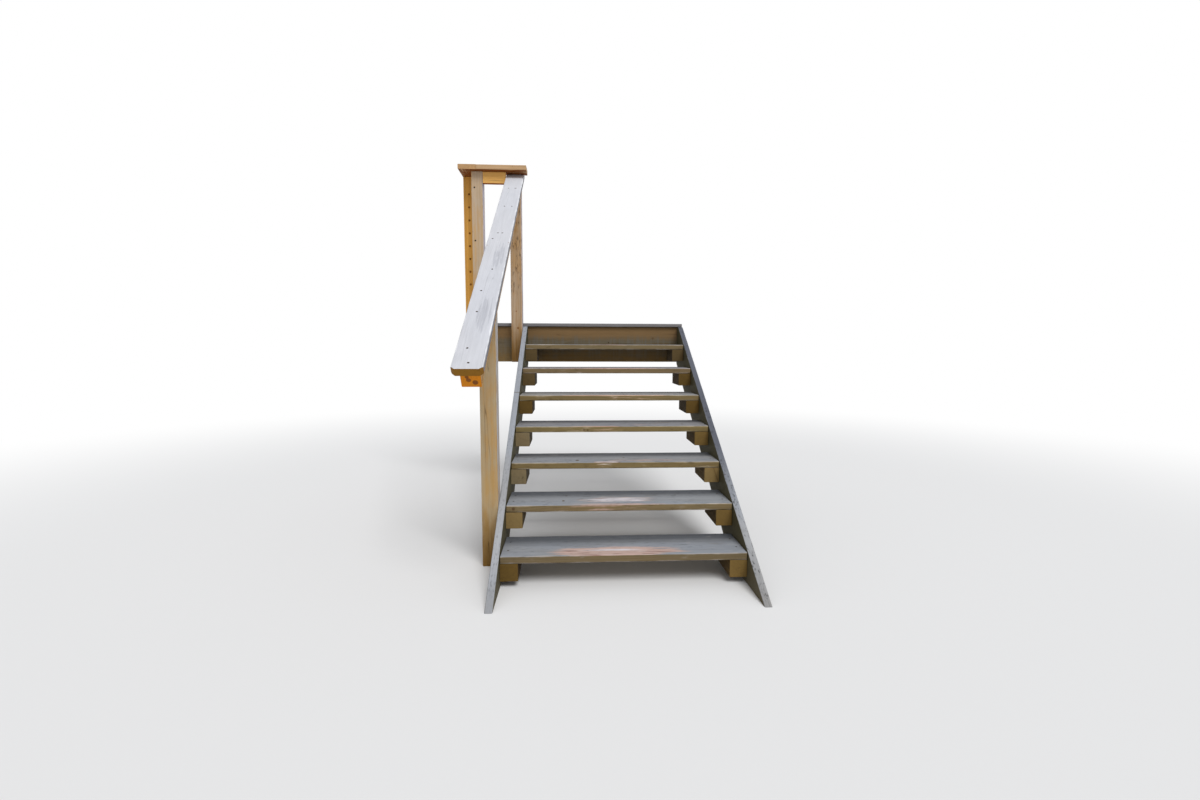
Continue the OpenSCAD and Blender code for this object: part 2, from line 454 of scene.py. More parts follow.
def cap_screws(board):
    start = board.centre + board.grain*board.low[0] + board.face*board.high[2]
    return [(Vector((board.corner.x + inward, start.y, start.z)) + board.grain*up, board.face)
            for up, inward in CAP_SCREWS]


def sink_screws(board):
    """Cuts a countersunk hole for each screw."""
    cutters = bmesh.new()
    profile = [(board.hole, 2), (board.hole, 0), (board.hole - HOLE_TAPER, -HOLE_DEPTH)]
    for place, normal in board.screws:
        turn_shape(cutters, place, normal, profile, HOLE_SIDES)
    bmesh.ops.recalc_face_normals(cutters, faces=cutters.faces)
    pieces = []
    for source in (board.mesh, cutters):
        mesh = bpy.data.meshes.new("cut")
        source.to_mesh(mesh)
        pieces.append(link("cut", mesh))
    cutters.free()
    body, tools = pieces
    holes = body.modifiers.new("holes", "BOOLEAN")
    holes.operation = "DIFFERENCE"
    holes.solver = "EXACT"
    holes.object = tools
    result = body.evaluated_get(bpy.context.evaluated_depsgraph_get())
    board.mesh.clear()
    board.mesh.from_mesh(result.to_mesh())
    result.to_mesh_clear()
    for piece in pieces:
        mesh = piece.data
        bpy.data.objects.remove(piece)
        bpy.data.meshes.remove(mesh)


# ---- What a board's material reads from its mesh

def store(mesh, name, values, domain="POINT"):
    """Keeps a number, or three numbers, for each vertex or face."""
    if isinstance(values[0], tuple):
        data = mesh.attributes.new(name, "FLOAT_VECTOR", domain).data
        data.foreach_set("vector", [part for value in values for part in value])
    else:
        mesh.attributes.new(name, "FLOAT", domain).data.foreach_set("value", values)


def store_same(mesh, name, value):
    store(mesh, name, [value]*len(mesh.vertices))


def filled(found, filler, count):
    """What was found, with the filler repeated behind it up to the count."""
    return (found + [filler]*count)[:count]


def store_marks(board, mesh):
    """Gives each vertex its place in the log that the board was sawn from, and what marks the board."""
    seed = board.random.uniform(3, 40)
    bright = board.random.uniform(0.96, 1.04)
    marks = {"tint": (bright, bright, bright), **UNMARKED, **board.marks}
    plain_end = LOOKS[board.slot]["end"][:3]
    lower_end = marks.get("lower_end", plain_end)[:3]

    def in_log(along, across, through=0.0):
        return along + seed, across - board.pith[0], through - board.pith[1]

    points = [vert.co for vert in mesh.vertices]
    places = [board.coords(point) for point in points]
    store(mesh, "board", [in_log(*place) for place in places])
    store(mesh, "end_colour", [lower_end if place[0] < 0 else plain_end for place in places])
    store(mesh, "edge", [board.edge_at(across, through) for _, across, through in places])
    store(mesh, "inset", [across - board.low[1] for _, across, _ in places])
    store(mesh, "rise", [point.z - board.corner.z for point in points])
    store(mesh, "drop", [board.far.z - point.z for point in points])
    for name in ("tint", *UNMARKED):
        store_same(mesh, name, marks[name])
    patches = filled(marks.get("worn", []), NO_PATCH, PATCH_LIMIT)
    for i, (middle, reach, bare, bleached) in enumerate(patches):
        along, across, _ = in_log(middle[0], board.low[1] + middle[1])
        store_same(mesh, "patch_%d" % i, (along, across, bare))
        store_same(mesh, "reach_%d" % i, (*reach, bleached))
    for i, (place, radius) in enumerate(filled(marks.get("knots", []), NO_KNOT, KNOT_LIMIT)):
        store_same(mesh, "knot_%d" % i, in_log(*board.coords(board.corner + Vector(place)*MM)))
        store_same(mesh, "knot_size_%d" % i, radius*MM)


def store_cuts(board, mesh):
    """Marks the sawn ends and the countersunk holes face by face."""
    faces = mesh.polygons
    ends = [float(abs(face.normal.dot(board.grain)) > SAWN_END) for face in faces]
    holes = [float(any(in_hole(board, mesh, face, *screw) for screw in board.screws)) for face in faces]
    store(mesh, "sawn_end", ends, "FACE")
    store(mesh, "hole", holes, "FACE")


def in_hole(board, mesh, face, place, normal):
    """Whether a face is the wall or the bottom of a screw's hole."""
    if (face.center - place).length > 2*board.hole*MM:
        return False
    for index in face.vertices:
        away = mesh.vertices[index].co - place
        if (away - normal*away.dot(normal)).length > (board.hole + HOLE_SLACK)*MM:
            return False
    return (face.center - place).dot(normal) < -HOLE_START*MM


# ---- Node graphs

class Value:
    """An output of a node, which can be calculated with."""

    def __init__(self, graph, socket):
        self.graph = graph
        self.socket = socket

    def __add__(self, other):
        return self.graph.math("ADD", self, other)

    def __sub__(self, other):
        return self.graph.math("SUBTRACT", self, other)

    def __rsub__(self, other):
        return self.graph.math("SUBTRACT", other, self)

    def __mul__(self, other):
        return self.graph.math("MULTIPLY", self, other)

    def __truediv__(self, other):
        return self.graph.math("DIVIDE", self, other)


class Graph:
    """Builds the nodes of a material or world: an input is a Value to link or a plain one to set."""

    def __init__(self, owner):
        owner.use_nodes = True
        self.owner = owner
        self.tree = owner.node_tree
        self.tree.nodes.clear()

    def node(self, kind, inputs, **settings):
        node = self.tree.nodes.new(kind)
        for key, value in settings.items():
            setattr(node, key, value)
        for key, value in inputs.items():
            if isinstance(value, Value):
                self.tree.links.new(value.socket, node.inputs[key])
            else:
                node.inputs[key].default_value = value
        return node

    def add(self, kind, inputs, output=0, **settings):
        """Adds a node and returns one of its outputs."""
        return Value(self, self.node(kind, inputs, **settings).outputs[output])

    def add_all(self, kind, inputs, outputs, **settings):
        """Adds a node and returns several of its outputs."""
        node = self.node(kind, inputs, **settings)
        return [Value(self, node.outputs[output]) for output in outputs]

    def attribute(self, name, output="Fac"):
        return self.add("ShaderNodeAttribute", {}, output, attribute_name=name)

    def position(self):
        return self.add("ShaderNodeNewGeometry", {}, "Position")

    def math(self, operation, *values, clamp=False):
        return self.add("ShaderNodeMath", dict(enumerate(values)), operation=operation, use_clamp=clamp)

    def length(self, x, y):
        return self.math("SQRT", x*x + y*y)

    def vary(self, value, amount):
        """1 on average, up and down by half the amount as the value goes from 0 to 1."""
        return self.math("MULTIPLY_ADD", value, amount, 1 - amount/2)

    def step(self, value, low, high, start=0.0, end=1.0):
        """Smooth step from start to end while the value goes from low to high."""
        inputs = {"Value": value, "From Min": low, "From Max": high, "To Min": start, "To Max": end}
        return self.add("ShaderNodeMapRange", inputs, "Result", interpolation_type="SMOOTHSTEP")

    def blend(self, factor, first, second):
        """A number between two others."""
        return self.add("ShaderNodeMix", {0: factor, 2: first, 3: second}, data_type="FLOAT")

    def mix(self, factor, first, second, mode="MIX"):
        """A colour between two others."""
        return self.add("ShaderNodeMix", {0: factor, 6: first, 7: second}, 2, data_type="RGBA",
                        blend_type=mode)

    def split(self, vector):
        return self.add_all("ShaderNodeSeparateXYZ", {0: vector}, (0, 1, 2))

    def join(self, x, y, z):
        return self.add("ShaderNodeCombineXYZ", {0: x, 1: y, 2: z})

    def noise(self, vector, along, across, detail=2.0, roughness=0.5, output=0):
        """Noise with this many features per metre along and across the grain."""
        scaled = self.add("ShaderNodeVectorMath", {0: vector, 1: (along, across, across)},
                          operation="MULTIPLY")
        inputs = {"Vector": scaled, "Scale": 1.0, "Detail": detail, "Roughness": roughness}
        return self.add("ShaderNodeTexNoise", inputs, output)

    def finish(self, shader, kind="ShaderNodeOutputMaterial"):
        self.node(kind, {0: shader})
        return self.owner


# ---- Timber finish

# Patterns in the wood: features per metre along and across the grain, detail and roughness
FIBRE = (5.0, 420.0, 3.0, 0.6)
STREAK = (1.6, 62.0, 3.0, 0.6)
SCRATCH = (3.4, 105.0, 3.0, 0.6)
CLOUD = (2.0, 9.0, 3.0, 0.55)
BLOTCH = (8.0, 26.0, 3.0, 0.6)
WARM = (1.3, 5.0)
SWAY = (0.9, 0.0, 1.0)
WOBBLE = (4.0, 14.0)
CRACK_LINE = (1.1, 34.0, 1.0)
CRACKED = (1.7, 11.0, 1.0)
SPECKLED = (2.5, 8.0)
GRIME = (7.0, 70.0, 3.0)
DRIPS = (42.0, 42.0, 3.0, 0.6)
# Where these start and are full, in the pattern they follow
HEART_AT = (0.35, 0.7)
WARM_AT = (0.4, 0.62)
CRACKED_AT = (0.55, 0.64)
CRACK_LINE_AT = (0.011, 0.002)
SPECKED_AT = (0.53, 0.7)
GRIME_AT = (0.55, 0.66)
WET_AT = (0.45, 0.62)
# And in metres: painted shade behind a tread's nose, painted shadow up a stringer's top edge, dry and wet
# wood below an overhang
BACK_SHADE_AT = (0.12, 0.23)
UPPER_SHADE_RISE = (0.36, 0.8)
DRY_DROP = (0.125, 0.055)
WET_DROP = (0.05, 0.13)
# And in how bare a patch is: rubbed wood, its ragged rim, its pale middle, and grime
RUBBED_AT = (0.24, 0.62)
RIM_AT = (0.02, 0.22)
PALE_AT = (0.84, 1.1)
SOILED_AT = (0.15, 0.45)
# Where a part of the normal starts and ends to count: for what lies on a board, and for its skins
LIES_UP = (0.2, 0.6)
FACES_FRONT = (-0.5, -0.9)
SKIN_SIDE = (0.5, 0.9)
SKIN_TOP = (0.35, 0.75)
SKIN_UNDER = (-0.35, -0.75)
# Spacing of knots along and round the log, in metres and radians, how rare and how large they are
KNOT_STEP = 0.34
KNOT_TURN = 1.1
KNOT_RARITY = 0.55
KNOT_SIZE = 24*MM
KNOT_LEAST = 0.5*MM
# In a knot's radii: its rim, the swirl round it, how far it bends the rings, and its own rings
KNOT_RIM = (1.05, 0.85)
KNOT_SWIRL = (2.4, 0.9)
KNOT_BENDS = (3.6, 0.4)
KNOT_BULGE = 1.3
KNOT_RINGS = 2.6
# Where late wood comes in and ends in a ring, and how many rings a run of wide or narrow years takes
LATE_START = (0.25, 0.85)
LATE_STOP = (1.0, 0.92)
YEARS = 3.2
# Depth of the bump, and the specular level of dry wood
RELIEF = 0.8*MM
SHEEN = 0.22
WARMTH = (1.07, 1.0, 0.9, 1)


class Timber(Graph):
    """A timber finish: bare wood under a skin of stain or weather, with wear, dirt and cracks."""

    def __init__(self, name, look):
        super().__init__(bpy.data.materials.new(name))
        self.look = {**COMMON, **look}
        self.point = self.attribute("board", "Vector")
        self.end = self.attribute("sawn_end")
        self.rise = self.attribute("rise")
        place, normal = self.add_all("ShaderNodeNewGeometry", {}, ("Position", "Normal"))
        self.place = self.split(place)
        self.normal = self.split(normal)
        self.up = self.step(self.normal[2], *LIES_UP)
        self.front = self.step(self.normal[1], *FACES_FRONT)
        self.fibre = self.noise(self.point, *FIBRE)
        self.streak = self.noise(self.point, *STREAK)
        self.scratch = self.noise(self.point, *SCRATCH)
        self.cloud = self.noise(self.point, *CLOUD)
        self.blotch = self.noise(self.point, *BLOTCH)
        self.crack = self.cracks()
        self.grow()

    def build(self):
        look = self.look
        covered = self.covered()
        colour = self.mix(covered, self.bare(), self.skin())
        knot = self.mix(self.knot_ring*0.5, look["knot"], look["late"])
        colour = self.mix(self.knot*look["knot_amount"], colour, knot)
        colour = self.stained(colour)
        colour = self.worn(colour)
        # Bright long edges: partly rubbed paler, partly painted highlight.
        colour = self.mix(self.edges(), colour, look["edge"])
        shade = self.shade()
        colour = self.mix(1.0, colour, self.join(shade, shade, shade), "MULTIPLY")
        colour = self.mix(1.0, colour, self.attribute("tint", "Vector"), "MULTIPLY")
        colour = self.mix(self.front, colour, self.attribute("front_tint", "Vector"), "MULTIPLY")
        rough = self.blend(covered, look["bare_rough"], look["skin_rough"])
        relief = self.fibre*0.5 + self.late*0.35 + self.streak*0.6 - self.crack*2.5
        bump = self.add("ShaderNodeBump",
                        {"Strength": look["bump"], "Distance": RELIEF, "Height": relief})
        shader = self.add("ShaderNodeBsdfPrincipled",
                          {"Base Color": colour, "Roughness": rough + (self.fibre - 0.5)*0.14,
                           "Normal": bump, "Specular IOR Level": SHEEN})
        return self.finish(shader)

    def grow(self):
        """Growth rings round the pith, bent by knots."""
        look = self.look
        along, across, through = self.split(self.point)
        sway = self.split(self.noise(self.point, *SWAY, output=1))
        across = across + (sway[0] - 0.5)*look["sway"]
        through = through + (sway[1] - 0.5)*look["sway"]
        radius = self.length(across, through)
        near, size = self.knots(along, self.math("ARCTAN2", across, through), radius)
        bulge = self.step(near, *KNOT_BENDS)*(size*KNOT_BULGE)
        bent = radius - bulge + self.noise(self.point, *WOBBLE)*look["wobble"]
        ring = self.math("FRACT", bent/look["ring"])
        self.late = self.step(ring, *LATE_START)*self.step(ring, *LATE_STOP)
        self.years = self.add("ShaderNodeTexNoise",
                              {"W": bent/(YEARS*look["ring"]), "Scale": 1.0, "Detail": 2.0},
                              noise_dimensions="1D")
        self.knot = self.step(near, *KNOT_RIM)
        self.round_knot = self.step(near, *KNOT_SWIRL)
        self.knot_ring = self.step(self.math("FRACT", near*KNOT_RINGS), 0.2, 0.9)

    def knots(self, along, turn, radius):
        """Branches from the pith and listed knots: distance over radius, and radius."""
        cell = self.join(along/KNOT_STEP, turn/KNOT_TURN, 0.0)
        place, colour = self.add_all("ShaderNodeTexVoronoi",
                                     {"Vector": cell, "Scale": 1.0, "Randomness": 0.9},
                                     ("Position", "Color"), voronoi_dimensions="2D")
        place = self.split(place)
        off_along = along - place[0]*KNOT_STEP
        off_turn = (turn - place[1]*KNOT_TURN)*radius
        chance = self.math("SUBTRACT", self.split(colour)[0], KNOT_RARITY, clamp=True)
        size = chance*self.attribute("knotty")*KNOT_SIZE + KNOT_LEAST
        near = self.length(off_along, off_turn)/size
        for i in range(KNOT_LIMIT):
            centre = self.attribute("knot_%d" % i, "Vector")
            away = self.add("ShaderNodeVectorMath", {0: self.point, 1: centre}, "Value",
                            operation="DISTANCE")
            own_size = self.attribute("knot_size_%d" % i)
            own = away/own_size
            size = self.blend(self.math("LESS_THAN", own, near), size, own_size)
            near = self.math("MINIMUM", near, own)
        return near, size

    def cracks(self):
        """Fine drying cracks along the grain."""
        line = self.math("ABSOLUTE", self.noise(self.point, *CRACK_LINE) - 0.5)
        cracked = self.step(self.noise(self.point, *CRACKED), *CRACKED_AT)
        return self.step(line, *CRACK_LINE_AT)*cracked*self.look["crack"]

    def bare(self):
        """Bare wood: rings, heartwood, the swirl round a knot, and cut ends."""
        look = self.look
        wood = self.mix(self.late*look["ring_amount"], look["early"], look["late"])
        wood = self.mix(self.step(self.cloud, *HEART_AT, 0.0, look["heart_amount"]), wood, look["heart"])
        wood = self.mix(self.round_knot*0.5, wood, look["late"])
        return self.mix(self.end*look["end_amount"], wood, self.attribute("end_colour", "Vector"))

    def skin(self):
        """Stained or weathered skin, warmer in places."""
        warm = self.step(self.noise(self.point, *WARM), *WARM_AT)
        return self.mix(warm*self.look["warm"], self.by_facing("skin", self.mix), WARMTH, "MULTIPLY")

    def covered(self):
        """How much of the wood the skin covers, with less of it on late wood and on cut ends."""
        shed = self.look["shed"]
        hold = self.streak*0.42 + self.blotch*0.33 + self.cloud*0.25
        held = self.step(hold - self.late*0.06, shed - 0.1, shed + 0.1)
        return held*self.by_facing("cover", self.blend)*(1.0 - self.end*0.95)

    def by_facing(self, kind, mixer):
        """A value that differs on a board's top, underside, outer side, right side and other sides."""
        look, side = self.look, self.look["side_" + kind]
        outward = self.math("SIGN", self.place[0])*self.normal[0]
        value = mixer(self.step(outward, *SKIN_SIDE), side, look.get("outer_" + kind, side))
        # Faces turned to the right take their own skin and cover, a paler grey on the posts.
        if "right_face_" + kind in look:
            value = mixer(self.step(self.normal[0], *SKIN_SIDE), value, look["right_face_" + kind])
        value = mixer(self.step(self.normal[2], *SKIN_TOP), value, look["top_" + kind])
        return mixer(self.step(self.normal[2], *SKIN_UNDER), value, look.get("under_" + kind, side))

    def stained(self, colour):
        """Painted shade at the back of a tread, painted shadow up a stringer's top edge, water marks, and
        a darker foot: damp and dusty wood, on the posts partly painted shade.
        """
        look = self.look
        # Painted shade: the back of each tread's top darkens, as if shaded by the tread above.
        if "back_shade" in look:
            away = self.attribute("inset") + (self.streak - 0.5)*0.12
            grime_and_shade = self.step(away, *BACK_SHADE_AT)*self.up
            colour = self.mix(grime_and_shade*look["back_shade_amount"], colour, look["back_shade"])
        # Painted shadow: the upper part of a stringer's top edge darkens, as if shaded by the deck.
        if "upper_shade_colour" in look:
            high = self.step(self.rise + self.blotch*0.3, *UPPER_SHADE_RISE)*self.up
            colour = self.mix(high*self.attribute("sheltered"), colour, look["upper_shade_colour"])
        if "band" in look:
            colour = self.weather_band(colour)
        # The darker foot: damp and dusty wood, and on the posts partly painted shade.
        if "foot" in look:
            height = look["foot_height"]
            low = self.step(self.rise + self.blotch*0.2, height, height*0.25)
            colour = self.mix(low*look["foot_amount"], colour, look["foot"])
        return colour

    def weather_band(self, colour):
        """The strip under an overhang that keeps its colour, and grey water streaks below it."""
        look = self.look
        x, y, z = self.place
        drips = self.noise(self.join(x, y, z*0.05), *DRIPS)
        drop = self.attribute("drop") + (drips - 0.5)*0.07
        dry = self.step(drop + (self.blotch - 0.5)*0.03, *DRY_DROP)
        wet = self.step(drips, *WET_AT)*self.step(drop, *WET_DROP)
        colour = self.mix(wet*0.45, colour, look["wet"])
        return self.mix(dry*look["band_amount"], colour, look["band"])

    def worn_patches(self):
        """How bare the board's patches are, most in their middle, and how far bleached."""
        at = self.split(self.point)
        bare, bleached = 0.0, 0.0
        for i in range(PATCH_LIMIT):
            place = self.split(self.attribute("patch_%d" % i, "Vector"))
            reach = self.split(self.attribute("reach_%d" % i, "Vector"))
            along, across = ((at[axis] - place[axis])/reach[axis] for axis in (0, 1))
            inside = self.math("SUBTRACT", 1.0, along*along + across*across, clamp=True)
            bare = self.math("MAXIMUM", inside*place[2], bare)
            bleached = inside*reach[2] + bleached
        return bare, bleached

    def worn(self, colour):
        """Patches rubbed through the finish, ragged along the grain, palest in their middle."""
        look = self.look
        bare, bleached = self.worn_patches()
        bare = bare*self.math("MAXIMUM", self.up, self.front*self.attribute("front_wear"))
        ragged = ((self.scratch - 0.5)*1.3 + (self.blotch - 0.5)*0.8)*look["ragged"]
        rubbed = self.step(bare + ragged, *RUBBED_AT)*self.step(bare, *RIM_AT)
        pale = self.step(bare*0.5 + self.scratch + bleached, *PALE_AT)
        grime_and_shade = self.step(self.noise(self.point, *GRIME), *GRIME_AT)*self.step(bare, *SOILED_AT)
        rub = self.mix(pale, look["rub"], look["polish"])
        rub = self.mix(grime_and_shade*look["stain_amount"], rub, look["stain"])
        return self.mix(rubbed*look["rub_amount"], colour, rub)

    def edges(self):
        """How bright the long edges are: paler where rubbed and partly a painted highlight, in patches
        and not on sawn ends.
        """
        first = self.look["edge_from"]
        bright = self.step(self.attribute("edge") + (self.blotch - 0.5)*1.2, first, first + 0.45)
        return bright*self.math("SUBTRACT", self.look["edge_amount"], self.end, clamp=True)

    def shade(self):
        """Light and dark over the colour: streaks, bands of years, cracks, painted shade in the screw
        holes, and specks.
        """
        look = self.look
        figure = self.attribute("figure")
        shade = (self.streak - 0.5)*(figure*look["streak"]) + 1.0
        shade = shade*((self.years - 0.5)*(figure*look["years"]) + 1.0)
        for value, amount in ((self.fibre, 0.24), (self.blotch, 0.18), (self.cloud, look["cloud"])):
            shade = shade*self.vary(value, amount)
        # The faces of the countersunk holes are darkened: painted shade in the recesses.
        for value, amount in ((self.crack, 0.75), (self.attribute("hole"), 0.6)):
            shade = shade*(1.0 - value*amount)
        return shade*(1.0 - self.specks()) if "speckle" in look else shade

    def specks(self):
        """Mildew specks in loose groups, which leave the foot of a post clear."""
        look = self.look
        first, foot = look["speckle_from"], look["speckle_foot"]
        specks = self.step(self.noise(self.point, *look["speckle"], 3.0), *SPECKED_AT)
        specks = specks*self.step(self.noise(self.point, *SPECKLED), first, first + 0.22)
        specks = specks*self.blend(self.up, look["speckled_sides"], 1.0)*self.attribute("specks")
        return specks*self.step(self.rise, foot, foot + 0.15)


# What every timber shares unless its look says otherwise. A skin is the stained or weathered layer on
# faces that look that way, a cover how much of it is left, and shed how easily it gives way. Ring, sway
# and wobble are in metres, and speckle in features per metre along and across.
COMMON = dict(
    ring=4.2*MM, sway=0.04, wobble=6*MM, ring_amount=0.8, heart_amount=0.35, end_amount=0.5,
    knot_amount=0.9, streak=0.3, cloud=0.14, years=0.16, warm=0.5, edge_amount=0.35, edge_from=0.35,
    speckle_from=0.36, speckle_foot=-1.0, ragged=1.0, rub_amount=0.9, stain_amount=0.55, crack=0.5,
    bump=0.6, skin_rough=0.74, bare_rough=0.8, rub=srgb(196, 168, 150), polish=srgb(206, 190, 182),
    stain=srgb(118, 84, 70))
LOOKS = {
    "tread": dict(
        early=srgb(150, 133, 100), late=srgb(114, 94, 60), heart=srgb(144, 110, 70),
        knot=srgb(74, 54, 38), end=srgb(112, 96, 70), edge=srgb(180, 172, 164),
        top_skin=srgb(143, 148, 156), side_skin=srgb(110, 98, 71), under_skin=srgb(100, 84, 54),
        top_cover=0.97, side_cover=0.75, shed=0.32, streak=0.36, edge_amount=0.8, edge_from=0.1,
        speckle=(24.0, 70.0), speckled_sides=0.5, rub=srgb(194, 165, 154), polish=srgb(218, 212, 216),
        # The last colour of this look darkens the back of each tread's top: painted shade.
        stain=srgb(116, 72, 56), stain_amount=0.7, back_shade=srgb(82, 85, 90), back_shade_amount=0.92),
    "stringer": dict(
        early=srgb(146, 140, 130), late=srgb(108, 100, 88), heart=srgb(132, 120, 102),
        knot=srgb(84, 70, 58), end=srgb(112, 98, 78), edge=srgb(182, 185, 192),
        # The side skin, seen on the stringers' inner faces, is darkened: painted shade under the treads.
        # The outer skin is the grey stain.
        top_skin=srgb(157, 161, 168), side_skin=srgb(73, 69, 48), under_skin=srgb(84, 72, 48),
        outer_skin=srgb(112, 112, 110), top_cover=0.96, side_cover=1.1, shed=0.3, edge_amount=0.5,
        crack=0.7, speckle=(50.0, 110.0), speckled_sides=0.0, foot=srgb(104, 94, 78), foot_height=0.3,
        # The last colour of this look darkens the upper part of the top edge: painted shadow of the deck.
        foot_amount=0.35, upper_shade_colour=srgb(78, 81, 92)),
    "cleat": dict(
        early=srgb(132, 112, 76), late=srgb(100, 80, 46), heart=srgb(122, 94, 52), knot=srgb(70, 48, 26),
        end=srgb(112, 94, 62), edge=srgb(140, 124, 94), top_skin=srgb(90, 80, 62),
        # The cleats' side and under skins are darkened: painted shade on their inner faces and
        # undersides.
        side_skin=srgb(72, 58, 34), under_skin=srgb(68, 52, 28), top_cover=0.8, side_cover=1.0, shed=0.36,
        skin_rough=0.85, bare_rough=0.85, ring=5*MM),
    "rim": dict(
        early=srgb(122, 104, 76), late=srgb(96, 78, 50), heart=srgb(116, 88, 56), knot=srgb(66, 48, 30),
        end=srgb(96, 78, 52), edge=srgb(128, 114, 90), top_skin=srgb(108, 100, 84),
        side_skin=srgb(96, 90, 75), under_skin=srgb(84, 70, 48), top_cover=0.8, side_cover=0.75,
        shed=0.38, skin_rough=0.82, bare_rough=0.82, band=srgb(128, 98, 60), wet=srgb(108, 104, 96),
        band_amount=0.75, foot=srgb(128, 100, 52), foot_height=0.26, foot_amount=0.8),
    "edge_board": dict(
        early=srgb(160, 152, 142), late=srgb(122, 110, 94), heart=srgb(146, 132, 116),
        knot=srgb(80, 64, 50), end=srgb(108, 98, 82), edge=srgb(146, 147, 152),
        top_skin=srgb(120, 124, 130), side_skin=srgb(114, 114, 118), under_skin=srgb(84, 72, 52),
        top_cover=0.95, side_cover=0.92, shed=0.3),
    "post": dict(
        early=srgb(190, 158, 108), late=srgb(160, 120, 68), heart=srgb(178, 130, 72),
        knot=srgb(108, 64, 36), end=srgb(158, 126, 80), edge=srgb(198, 178, 146),
        top_skin=srgb(168, 156, 138), side_skin=srgb(164, 149, 124), under_skin=srgb(138, 108, 68),
        right_face_skin=srgb(184, 181, 184), top_cover=0.6, side_cover=0.8, right_face_cover=2.0, shed=0.46,
        bare_rough=0.7, heart_amount=0.5, crack=0.8, ring=3.2*MM, sway=0.02, wobble=4*MM, years=0.34,
        speckle=(24.0, 95.0), speckle_from=0.2, speckle_foot=0.46, speckled_sides=1.0,
        # The posts' darker foot is partly damp, dirty wood and partly painted shade; the upper post's
        # foot stands far above the ground.
        foot=srgb(114, 82, 26), foot_height=0.5, foot_amount=0.92),
    "golden": dict(
        early=srgb(200, 160, 100), late=srgb(168, 118, 58), heart=srgb(186, 134, 70),
        knot=srgb(104, 48, 0), end=srgb(184, 138, 78), edge=srgb(210, 180, 130),
        # The dark orange under skin, with a cover past 1, is partly the wood's colour and partly painted
        # shade on the undersides.
        top_skin=srgb(196, 174, 142), side_skin=srgb(186, 152, 104), under_skin=srgb(124, 60, 0),
        top_cover=0.7, side_cover=0.35, under_cover=2.2, shed=0.46, skin_rough=0.66, bare_rough=0.6,
        heart_amount=0.5, end_amount=1.0, ring=3.4*MM, sway=0.025, wobble=4*MM, years=0.3),
    "handrail_cap": dict(
        early=srgb(188, 168, 134), late=srgb(146, 112, 70), heart=srgb(182, 148, 98),
        knot=srgb(150, 134, 126), end=srgb(136, 94, 14), edge=srgb(244, 245, 248),
        top_skin=srgb(203, 205, 212), side_skin=srgb(124, 127, 137), under_skin=srgb(136, 106, 60),
        top_cover=0.98, side_cover=0.92, under_cover=0.6, shed=0.24, skin_rough=0.66, end_amount=1.0,
        streak=0.16, years=0.06, crack=0.35, knot_amount=0.5, warm=0.12, edge_amount=0.75, edge_from=0.16,
        rub=srgb(168, 170, 178), polish=srgb(150, 152, 162), stain=srgb(140, 138, 144), rub_amount=0.5,
        ragged=2.0),
}
# How far tarnish darkens a metal and dulls its shine, and its mottling's features per metre
TARNISH = 0.45
METALLIC = 0.85
MOTTLE = (260.0, 260.0, 3.0, 0.6)


def metal(name, colour, uneven):
    """Zinc or steel, rough and mottled with tarnish, and this uneven in its roughness."""
    graph = Graph(bpy.data.materials.new(name))
    mottle = graph.noise(graph.position(), *MOTTLE)
    dull = tuple(part*TARNISH for part in colour[:3]) + (1.0,)
    shade = graph.mix(graph.step(mottle, 0.35, 0.65), dull, colour)
    return graph.finish(graph.add("ShaderNodeBsdfPrincipled", {
        "Base Color": shade, "Metallic": METALLIC, "Roughness": graph.vary(mottle, uneven)}))


# ---- Dressing the boards

def finish_board(board, material):
    """Turns the worked mesh into the piece that stands for the node."""
    mesh = bpy.data.meshes.new(board.name + "_wood")
    board.mesh.normal_update()
    board.mesh.to_mesh(mesh)
    board.mesh.free()
    store_marks(board, mesh)
    store_cuts(board, mesh)
    mesh.polygons.foreach_set("use_smooth", [True]*len(mesh.polygons))
    mesh.set_sharp_from_angle(angle=radians(40))
    mesh.materials.append(material)
    piece = link(board.name + "_wood", mesh)
    flat = piece.modifiers.new("flat faces", "WEIGHTED_NORMAL")
    flat.keep_sharp = True
    flat.weight = 100
    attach(piece, "root")
    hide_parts(board.name)


def dress_boards():
    materials = {slot: Timber("wood_" + slot, look).build() for slot, look in LOOKS.items()}
    zinc = metal("screw_zinc", srgb(92, 84, 76), 0.25)
    for name in NODES:
        board = Board(name)
        ease_edges(board)
        if board.screws:
            sink_screws(board)
            metal_piece(name + "_screws", board.screws, HEAD_PROFILE, zinc, board.hole/HOLE_RADIUS)
        slice_board(board)
        weather_shape(board)
        finish_board(board, materials[board.slot])


# Cable end nuts on the side post's front: their step, and how far the top one is below the cap
CABLE_COUNT = 8
CABLE_STEP = 0.102
CABLE_TOP = 0.136
NUT_SUNK = 0.4*MM


def add_cable_ends():
    low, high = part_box("side_post")
    top = high.z - CABLE_TOP
    places = [(Vector(((low.x + high.x)/2, low.y + NUT_SUNK, top - CABLE_STEP*i)), FRONT)
              for i in range(CABLE_COUNT)]
    steel = metal("cable_steel", srgb(186, 132, 64), 0.225)
    metal_piece("side_post_cable_ends", places, NUT_PROFILE, steel)


# ---- Camera, floor and light

# Camera, fitted to the photograph's edges: place in metres and turns in radians
CAMERA_AT = Vector((-0.2635, -4.5593, -0.0165))
CAMERA_YAW = 0.0531
CAMERA_DOWN = 0.098
CAMERA_ROLL = -0.003
PHOTO_WIDTH = 1200
FOCAL_PIXELS = 544.6
SENSOR_MM = 36
SIGHT = 200


